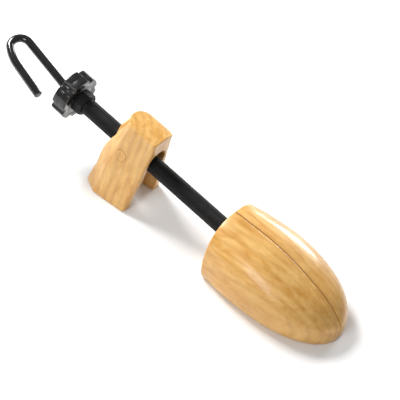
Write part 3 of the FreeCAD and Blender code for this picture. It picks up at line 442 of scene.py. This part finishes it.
def bevelled(name, body, width):
    mesh = mergedCopy(name)
    work = bmesh.new()
    work.from_mesh(mesh)
    bmesh.ops.dissolve_limit(
        work, angle_limit=math.radians(1.0), use_dissolve_boundaries=False,
        verts=work.verts, edges=work.edges, delimit={"NORMAL"},
    )
    work.to_mesh(mesh)
    work.free()
    mesh = evaluated(mesh, [("BEVEL", {
        "width": width * mm, "segments": 2, "limit_method": "ANGLE",
        "angle_limit": math.radians(35), "use_clamp_overlap": True, "harden_normals": False,
    }), ("TRIANGULATE", {})])
    shadeSmooth(mesh, 30)
    finish(name + "_finished", mesh, materialFor(name), body, [name])


for name, (body, width) in bevelSizes.items():
    bevelled(name, body, width)
print("bevelled", len(bevelSizes), "metal pieces")

# knob: moulded ring of lobes with eased valleys, rounded rims, a dished front and a parting line
knobSizes = {
    "back": -204.8, "length": 15.0, "radius": 22.8, "lobes": 6, "phase": -21.1,
    "valleyRadius": 5.0, "valleyDepth": 2.4, "blend": 1.3, "rimRound": 1.3,
    "boreFront": 8.25, "boreBack": 4.3, "wall": 3.0, "dishInner": 12.6, "dishOuter": 17.4, "dishDepth": 0.5,
    "boreEdge": 0.4, "faceEdge": 0.3, "dishEdge": 0.5, "dishSlope": 0.1, "backRings": (9.0, 14.0, 17.6),
    "partingDepth": 0.1, "partingReach": 0.5, "partingWidth": 0.16, "rimSteps": 6, "around": 360,
}


def lobeRadius(angle):
    # distance to the rim, with each valley's corners blended
    k = knobSizes
    pitch = 2 * math.pi / k["lobes"]
    away = ((angle - math.pi / 2 + pitch / 2) % pitch) - pitch / 2
    centre = k["radius"] + k["valleyRadius"] - k["valleyDepth"]
    inside = max(0.0, k["valleyRadius"] ** 2 - (centre * math.sin(away)) ** 2)
    valley = centre * math.cos(away) - math.sqrt(inside)
    if inside == 0:
        valley = centre
    share = max(0.0, min(1.0, 0.5 + 0.5 * (valley - k["radius"]) / k["blend"]))
    return valley * (1 - share) + k["radius"] * share - k["blend"] * share * (1 - share)


def knobLoops():
    # each loop is (along, share of the way from a plain circle to the lobed rim, radius or inset)
    k = knobSizes
    back, front, rim, steps = k["back"], k["back"] + k["length"], k["rimRound"], k["rimSteps"]
    middle = (back + front) / 2
    edge, bore, face = k["boreEdge"], k["boreBack"], k["faceEdge"]
    loops = [(back + k["wall"], 0, bore), (back + edge, 0, bore), (back, 0, bore + edge)]
    loops += [(back, 0, ring) for ring in k["backRings"]]
    for step in range(steps + 1):
        turn = math.pi / 2 * step / steps
        loops.append((back + rim * (1 - math.cos(turn)), 1, rim * (1 - math.sin(turn))))
    reach, width = k["partingReach"], k["partingWidth"]
    for offset, depth in ((-reach, 0), (-width, 1), (width, 1), (reach, 0)):
        loops.append((middle + offset, 1, depth * k["partingDepth"]))
    for step in range(steps + 1):
        turn = math.pi / 2 * step / steps
        loops.append((front - rim * (1 - math.sin(turn)), 1, rim * (1 - math.cos(turn))))
    inner, outer, dish, lip = k["dishInner"], k["dishOuter"], k["dishDepth"], k["dishEdge"]
    start = front - k["dishSlope"]
    loops += [(front, 0, outer + face), (start, 0, outer), (front - dish, 0, outer - lip)]
    loops += [(front - dish, 0, inner + lip), (start, 0, inner), (front, 0, inner - face)]
    loops += [(front, 0, k["boreFront"] + face), (front - face, 0, k["boreFront"])]
    loops.append((back + k["wall"], 0, k["boreFront"]))
    return loops


def buildKnob():
    k = knobSizes
    loops = knobLoops()
    around = k["around"]
    turned = shaftMatrix @ Matrix.Rotation(math.radians(k["phase"]), 4, "X")
    points = []
    for along, lobed, size in loops:
        for index in range(around):
            angle = 2 * math.pi * index / around
            radius = lobeRadius(angle) - size if lobed else size
            points.append(turned @ (Vector((along, radius * math.cos(angle), radius * math.sin(angle))) * mm))
    faces = []
    for ring in range(len(loops)):
        nextRing = (ring + 1) % len(loops)
        for index in range(around):
            after = (index + 1) % around
            faces.append((
                ring * around + index, nextRing * around + index,
                nextRing * around + after, ring * around + after,
            ))
    mesh = bpy.data.meshes.new("knob_shell")
    mesh.from_pydata(points, [], faces)
    work = bmesh.new()
    work.from_mesh(mesh)
    bmesh.ops.recalc_face_normals(work, faces=work.faces)
    work.to_mesh(mesh)
    work.free()
    shadeSmooth(mesh, 40)
    finish("knob_moulding", mesh, materials["black_plastic"], "screw_tube", ["knob"])
    print("knob built,", len(mesh.polygons), "faces")


buildKnob()

# hook: one round bar, bent behind the knob, with a broken edge at its cut end and a necked thread core
hookSizes = {
    "radius": 4.0, "tip": 61.0, "roll": 190.0, "knobBack": 204.8, "bendStart": 4.0, "bendRadius": 20.0,
    "bendAngle": 9.7, "shank": 55.4, "crookRadius": 9.8, "crookSweep": 152.0, "easeRadius": 51.0,
    "easeSweep": 24.7, "leg": 37.5, "endRound": 0.7, "sides": 40, "step": 1.6,
    "threadStart": 33.0, "threadDepth": 0.55, "straightMiddle": -100.0, "tipChamfer": 0.8, "coreStep": 0.6,
    "endSteps": 4,
}


def arcRun(place, heading, radius, sweep, step):
    # points of a turn; a positive sweep turns left
    side = 1 if sweep > 0 else -1
    centre = place + Vector((-math.sin(heading), math.cos(heading))) * radius * side
    count = max(4, math.ceil(abs(sweep) * radius / step))
    run = []
    for index in range(1, count + 1):
        angle = heading - side * math.pi / 2 + sweep * index / count
        run.append(centre + Vector((math.cos(angle), math.sin(angle))) * radius)
    return run, heading + sweep


def hookLine():
    # the bar's middle line in its own plane, with the bar's radius at each point
    h = hookSizes
    bend = Vector((-h["knobBack"] - h["bendStart"], 0))
    coreRadius = h["radius"] - h["threadDepth"]
    line = [
        (Vector((h["tip"], 0)), coreRadius - h["tipChamfer"]),
        (Vector((h["tip"] - h["tipChamfer"], 0)), coreRadius),
        (Vector((h["threadStart"], 0)), coreRadius),
        (Vector((h["threadStart"] - h["coreStep"], 0)), h["radius"]),
        (Vector((h["straightMiddle"], 0)), h["radius"]), (bend, h["radius"]),
    ]
    heading = math.pi
    run, heading = arcRun(bend, heading, h["bendRadius"], math.radians(h["bendAngle"]), h["step"])
    line += [(point, h["radius"]) for point in run]
    place = run[-1] + Vector((math.cos(heading), math.sin(heading))) * h["shank"]
    line.append((place, h["radius"]))
    for radius, sweep in ((h["crookRadius"], h["crookSweep"]), (h["easeRadius"], h["easeSweep"])):
        run, heading = arcRun(place, heading, radius, -math.radians(sweep), h["step"] * radius ** 0.5 / 3)
        line += [(point, h["radius"]) for point in run]
        place = run[-1]
    forward = Vector((math.cos(heading), math.sin(heading)))
    line.append((place + forward * (h["leg"] - h["endRound"]), h["radius"]))
    for step in range(1, h["endSteps"] + 1):
        turn = math.pi / 2 * step / h["endSteps"]
        reach = h["leg"] - h["endRound"] * (1 - math.sin(turn))
        line.append((place + forward * reach, h["radius"] - h["endRound"] * (1 - math.cos(turn))))
    return line


def sweptBar(line, sides, turned):
    # a closed bar round a flat line
    points = []
    count = len(line)
    for index, (place, radius) in enumerate(line):
        before = line[max(0, index - 1)][0]
        after = line[min(count - 1, index + 1)][0]
        forward = (after - before).normalized()
        across = Vector((-forward.y, forward.x, 0))
        for side in range(sides):
            angle = 2 * math.pi * side / sides
            offset = (across * math.cos(angle) + Vector((0, 0, 1)) * math.sin(angle)) * radius
            points.append(turned @ ((Vector((place.x, place.y, 0)) + offset) * mm))
    faces = []
    for ring in range(count - 1):
        for side in range(sides):
            after = (side + 1) % sides
            faces.append((
                ring * sides + side, ring * sides + after,
                (ring + 1) * sides + after, (ring + 1) * sides + side,
            ))
    faces.append(tuple(range(sides)))
    faces.append(tuple(reversed(range((count - 1) * sides, count * sides))))
    mesh = bpy.data.meshes.new("bar")
    mesh.from_pydata(points, [], faces)
    work = bmesh.new()
    work.from_mesh(mesh)
    bmesh.ops.recalc_face_normals(work, faces=work.faces)
    work.to_mesh(mesh)
    work.free()
    return mesh


def buildHook():
    turned = shaftMatrix @ Matrix.Rotation(math.radians(hookSizes["roll"]), 4, "X")
    mesh = sweptBar(hookLine(), hookSizes["sides"], turned)
    shadeSmooth(mesh, 50)
    finish("hook_bar", mesh, materials["black_rod"], "handle", ["hook_rod"])
    print("hook built,", len(mesh.polygons), "faces")


buildHook()


# screw threads: one Geometry Nodes tree winds a threaded sleeve round the shaft
def treeMath(tree):
    # gives a function that writes field arithmetic as nodes
    def calc(operation, first, second=None, third=None):
        node = tree.nodes.new("ShaderNodeMath")
        node.operation = operation
        for socket, value in zip(node.inputs, (first, second, third)):
            feed(tree, socket, value)
        return node.outputs[0]
    return calc


threadInputs = [
    ("Start", "NodeSocketFloat"), ("Length", "NodeSocketFloat"), ("Radius", "NodeSocketFloat"),
    ("Bore", "NodeSocketFloat"), ("Pitch", "NodeSocketFloat"), ("Depth", "NodeSocketFloat"),
    ("Plain Rear", "NodeSocketFloat"), ("Plain Front", "NodeSocketFloat"),
    ("Rows", "NodeSocketInt"), ("Sides", "NodeSocketInt"), ("Material", "NodeSocketMaterial"),
]


# how steep the groove's flanks are, and how softly they meet the crest
grooveShape = {"flank": 2.6, "crest": 1.0, "soften": 0.25}


def buildThreadTree():
    tree = bpy.data.node_groups.new("woundThread", "GeometryNodeTree")
    for label, kind in threadInputs:
        tree.interface.new_socket(name=label, in_out="INPUT", socket_type=kind)
    tree.interface.new_socket(name="Geometry", in_out="OUTPUT", socket_type="NodeSocketGeometry")
    start = tree.nodes.new("NodeGroupInput").outputs
    end = tree.nodes.new("NodeGroupOutput")
    calc = treeMath(tree)
    grid = tree.nodes.new("GeometryNodeMeshGrid")
    grid.inputs["Size X"].default_value = 1.0
    grid.inputs["Size Y"].default_value = 1.0
    feed(tree, grid.inputs["Vertices X"], calc("ADD", start["Rows"], 4.0))
    feed(tree, grid.inputs["Vertices Y"], calc("ADD", start["Sides"], 1.0))
    place = addNode(tree, "ShaderNodeSeparateXYZ")
    feed(tree, place.inputs[0], tree.nodes.new("GeometryNodeInputPosition").outputs[0])
    # row number along the outline and turn round the shaft
    lastRow = calc("ADD", start["Rows"], 3.0)
    row = calc("ROUND", calc("MULTIPLY", calc("ADD", place.outputs["X"], 0.5), lastRow))
    turn = calc("ADD", place.outputs["Y"], 0.5)
    outerRow = calc("SUBTRACT", row, 1.0)
    walked = calc("DIVIDE", outerRow, calc("SUBTRACT", start["Rows"], 1.0))
    share = calc("MINIMUM", calc("MAXIMUM", walked, 0.0), 1.0)
    away = calc("MULTIPLY", share, start["Length"])
    wave = calc("PINGPONG", calc("ADD", calc("DIVIDE", away, start["Pitch"]), turn), 0.5)
    flank = calc("MULTIPLY", wave, grooveShape["flank"])
    profile = calc("SMOOTH_MIN", flank, grooveShape["crest"], grooveShape["soften"])
    groove = calc("MULTIPLY", profile, start["Depth"])
    rearFade = calc("DIVIDE", calc("SUBTRACT", away, start["Plain Rear"]), start["Pitch"])
    frontEdge = calc("SUBTRACT", calc("SUBTRACT", start["Length"], start["Plain Front"]), away)
    frontFade = calc("DIVIDE", frontEdge, start["Pitch"])
    fade = calc("MINIMUM", calc("MAXIMUM", calc("MINIMUM", rearFade, frontFade), 0.0), 1.0)
    outer = calc("SUBTRACT", start["Radius"], calc("MULTIPLY", calc("SUBTRACT", start["Depth"], groove), fade))
    # the first and last two rows turn in to the bore and meet there
    pastEnd = calc("GREATER_THAN", row, calc("ADD", start["Rows"], 0.5))
    isEnd = calc("MAXIMUM", calc("LESS_THAN", row, 0.5), pastEnd)
    outside = calc("MULTIPLY", outer, calc("SUBTRACT", 1.0, isEnd))
    radius = calc("ADD", outside, calc("MULTIPLY", start["Bore"], isEnd))
    closing = calc("GREATER_THAN", row, calc("ADD", start["Rows"], 1.5))
    along = calc("ADD", start["Start"], calc("MULTIPLY", away, calc("SUBTRACT", 1.0, closing)))
    angle = calc("MULTIPLY", turn, 2 * math.pi)
    joined = addNode(tree, "ShaderNodeCombineXYZ")
    feed(tree, joined.inputs["X"], along)
    feed(tree, joined.inputs["Y"], calc("MULTIPLY", radius, calc("COSINE", angle)))
    feed(tree, joined.inputs["Z"], calc("MULTIPLY", radius, calc("SINE", angle)))
    moved = tree.nodes.new("GeometryNodeSetPosition")
    tree.links.new(grid.outputs["Mesh"], moved.inputs["Geometry"])
    tree.links.new(joined.outputs[0], moved.inputs["Position"])
    merged = tree.nodes.new("GeometryNodeMergeByDistance")
    tree.links.new(moved.outputs[0], merged.inputs["Geometry"])
    merged.inputs["Distance"].default_value = 1e-6
    placed = tree.nodes.new("GeometryNodeTransform")
    tree.links.new(merged.outputs[0], placed.inputs["Geometry"])
    placed.inputs["Translation"].default_value = shaftStart
    placed.inputs["Rotation"].default_value = (0, shaftPitch, 0)
    real = tree.nodes.new("GeometryNodeRealizeInstances")
    tree.links.new(placed.outputs[0], real.inputs[0])
    painted = tree.nodes.new("GeometryNodeSetMaterial")
    tree.links.new(real.outputs[0], painted.inputs["Geometry"])
    tree.links.new(start["Material"], painted.inputs["Material"])
    tree.links.new(painted.outputs[0], end.inputs[0])
    return tree


threadTree = buildThreadTree()
threadPieces = {
    "tube_thread": {
        "body": "screw_tube", "replaces": ["threaded_tube"], "slot": "black_steel",
        "values": {
            "Start": -201.8, "Length": 207.65, "Radius": 8.2, "Bore": 5.5, "Pitch": 1.5, "Depth": 0.42,
            "Plain Rear": 23.0, "Plain Front": 12.0, "Rows": 970, "Sides": 40,
        },
    },
    "rod_thread": {
        "body": "handle", "replaces": [], "slot": "black_rod",
        "values": {
            "Start": 33.4, "Length": 27.3, "Radius": 4.0, "Bore": 3.3, "Pitch": 1.25, "Depth": 0.5,
            "Plain Rear": 0.4, "Plain Front": 0.4, "Rows": 176, "Sides": 32,
        },
    },
}
lengthInputs = ("Start", "Length", "Radius", "Bore", "Pitch", "Depth", "Plain Rear", "Plain Front")


def windThread(name, facts):
    carrier = bpy.data.objects.new("carrier", bpy.data.meshes.new("carrier"))
    collection.objects.link(carrier)
    modifier = carrier.modifiers.new("thread", "NODES")
    modifier.node_group = threadTree
    sockets = {item.name: item.identifier for item in threadTree.interface.items_tree if item.in_out == "INPUT"}
    for label, value in facts["values"].items():
        modifier[sockets[label]] = value * mm if label in lengthInputs else value
    modifier[sockets["Material"]] = materials[facts["slot"]]
    graph = bpy.context.evaluated_depsgraph_get()
    mesh = bpy.data.meshes.new_from_object(carrier.evaluated_get(graph), depsgraph=graph)
    carrier.modifiers.remove(modifier)
    bpy.data.objects.remove(carrier)
    work = bmesh.new()
    work.from_mesh(mesh)
    bmesh.ops.recalc_face_normals(work, faces=work.faces)
    work.to_mesh(mesh)
    work.free()
    shadeSmooth(mesh, 50)
    finish(name, mesh, materials[facts["slot"]], facts["body"], facts["replaces"])
    print("wound", name, len(mesh.polygons), "faces")


for name, facts in threadPieces.items():
    windThread(name, facts)

# floor, light and camera
stageSizes = {
    "floorHalf": 4.0, "floorDrop": 0.0002, "floorColour": (0.93, 0.93, 0.93), "floorRoughness": 0.8,
    "floorSpecular": 0.1, "worldColour": (1, 1, 1), "worldStrength": 0.28,
}


def buildFloor():
    mesh = bpy.data.meshes.new("floor")
    half, level = stageSizes["floorHalf"], -stageSizes["floorDrop"]
    corners = [(-half, -half, level), (half, -half, level), (half, half, level), (-half, half, level)]
    mesh.from_pydata(corners, [], [(0, 1, 2, 3)])
    floor = bpy.data.objects.new("floor", mesh)
    collection.objects.link(floor)
    material, tree, shader, place = startMaterial("paper_floor")
    shader.inputs["Base Color"].default_value = (*stageSizes["floorColour"], 1)
    shader.inputs["Roughness"].default_value = stageSizes["floorRoughness"]
    shader.inputs["Specular IOR Level"].default_value = stageSizes["floorSpecular"]
    floor.data.materials.append(material)


cameraView = {
    "fromShaft": (-0.04968, 0.01934, -0.00914),
    "distance": 1.4,
    "azimuth": 31.77,
    "elevation": 44.29,
    "roll": 11.41,
    "fieldOfView": 14.9,
}
cameraTarget = shaftStart + Vector(cameraView["fromShaft"])


def buildCamera():
    camera = bpy.data.objects.new("camera", bpy.data.cameras.new("camera"))
    collection.objects.link(camera)
    azimuth = math.radians(cameraView["azimuth"])
    elevation = math.radians(cameraView["elevation"])
    back = Vector((
        math.sin(azimuth) * math.cos(elevation),
        -math.cos(azimuth) * math.cos(elevation),
        math.sin(elevation),
    ))
    level = Vector((0, 0, 1)).cross(back).normalized()
    right = Matrix.Rotation(math.radians(cameraView["roll"]), 3, back) @ level
    up = back.cross(right)
    turn = Matrix((right, up, back)).transposed().to_4x4()
    camera.matrix_world = Matrix.Translation(cameraTarget + back * cameraView["distance"]) @ turn
    camera.data.sensor_fit = "HORIZONTAL"
    camera.data.angle = math.radians(cameraView["fieldOfView"])
    camera.data.clip_start = 0.01
    scene.camera = camera
    return back, right, up


# each light: offset from the target in metres along right, up and back, its size and its power
lightSizes = {
    "key": ((-0.6, 1.4, 0.3), (0.6, 0.5), 31),
    "rim": ((0.9, 1.0, -0.6), (0.5, 0.3), 12),
    "fill": ((-0.8, 0.1, 1.7), (0.8, 0.8), 13),
}


def buildLights(back, right, up):
    world = bpy.data.worlds.new("studio")
    world.use_nodes = True
    background = world.node_tree.nodes["Background"]
    background.inputs[0].default_value = (*stageSizes["worldColour"], 1)
    background.inputs[1].default_value = stageSizes["worldStrength"]
    scene.world = world
    for name, (place, size, power) in lightSizes.items():
        data = bpy.data.lights.new(name, "AREA")
        data.shape = "RECTANGLE"
        data.size, data.size_y = size
        data.energy = power
        light = bpy.data.objects.new(name, data)
        collection.objects.link(light)
        offset = right * place[0] + up * place[1] + back * place[2]
        light.location = cameraTarget + offset
        light.rotation_euler = (-offset).to_track_quat("-Z", "Y").to_euler()


buildFloor()
buildLights(*buildCamera())
print("scene ready")
